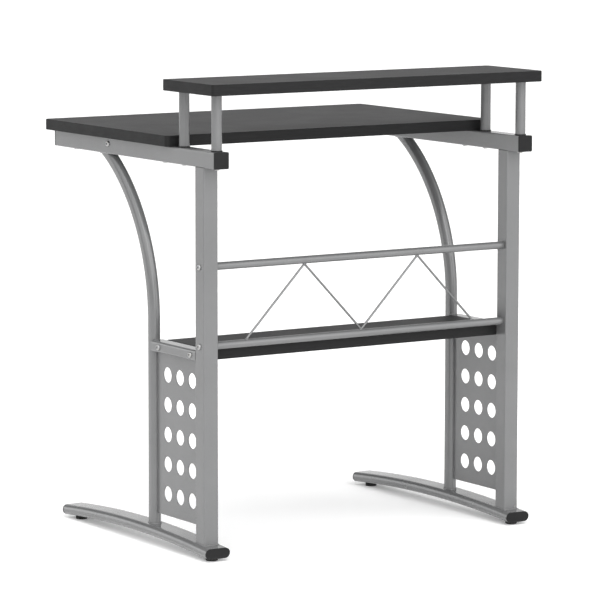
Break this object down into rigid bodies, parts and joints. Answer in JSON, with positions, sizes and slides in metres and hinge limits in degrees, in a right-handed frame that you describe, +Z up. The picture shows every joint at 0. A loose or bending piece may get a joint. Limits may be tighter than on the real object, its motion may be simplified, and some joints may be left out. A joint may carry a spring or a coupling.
{
  "type": "computer desk",
  "caption": "Small steel-framed desk with a black worktop, a raised monitor shelf on short posts, a lower shelf, curved front legs and perforated side panels.",
  "frame": {"origin": "on the floor, under the middle of the desk's outline", "axes": "+X towards the sitter's right, +Y away from the sitter, +Z up"},
  "size_m": [0.711, 0.609, 0.852],
  "materials": {
    "silver_paint": "satin silver-grey powder coat",
    "black_laminate": "black laminate with a fine matt texture on chipboard",
    "black_edge_band": "black plastic edging, satin",
    "black_plastic": "black moulded plastic, fine texture",
    "zinc_steel": "zinc-plated steel"
  },
  "bodies": {
    "root": {"front_stretcher": "silver_paint", "lattice_wire": "silver_paint", "left_curved_leg": "silver_paint", "left_foot_tube": "silver_paint", "left_front_floor_glide": "black_plastic", "left_front_foot_cap": "black_plastic", "left_front_rail_cap": "black_plastic", "left_front_shelf_post": "silver_paint", "left_perforated_panel": "silver_paint", "left_rear_floor_glide": "black_plastic", "left_rear_foot_cap": "black_plastic", "left_rear_rail_cap": "black_plastic", "left_rear_shelf_post": "silver_paint", "left_rear_upright": "silver_paint", "left_shelf_bracket": "silver_paint", "left_top_rail": "silver_paint", "lower_shelf": "black_laminate", "lower_shelf_bolts": "zinc_steel", "lower_shelf_edge_bands": "black_edge_band", "lower_shelf_inserts": "zinc_steel", "lower_stretcher": "silver_paint", "post_washers": "black_plastic", "raised_shelf": "black_laminate", "raised_shelf_edge_band": "black_edge_band", "raised_shelf_inserts": "zinc_steel", "right_curved_leg": "silver_paint", "right_foot_tube": "silver_paint", "right_front_floor_glide": "black_plastic", "right_front_foot_cap": "black_plastic", "right_front_rail_cap": "black_plastic", "right_front_shelf_post": "silver_paint", "right_perforated_panel": "silver_paint", "right_rear_floor_glide": "black_plastic", "right_rear_foot_cap": "black_plastic", "right_rear_rail_cap": "black_plastic", "right_rear_shelf_post": "silver_paint", "right_rear_upright": "silver_paint", "right_shelf_bracket": "silver_paint", "right_top_rail": "silver_paint", "shelf_post_bolts": "zinc_steel", "stretcher_bolts": "zinc_steel", "stretcher_end_nuts": "zinc_steel", "upper_stretcher": "silver_paint", "worktop": "black_laminate", "worktop_bolts": "zinc_steel", "worktop_edge_band": "black_edge_band", "worktop_inserts": "zinc_steel"}
  },
  "joints": []
}
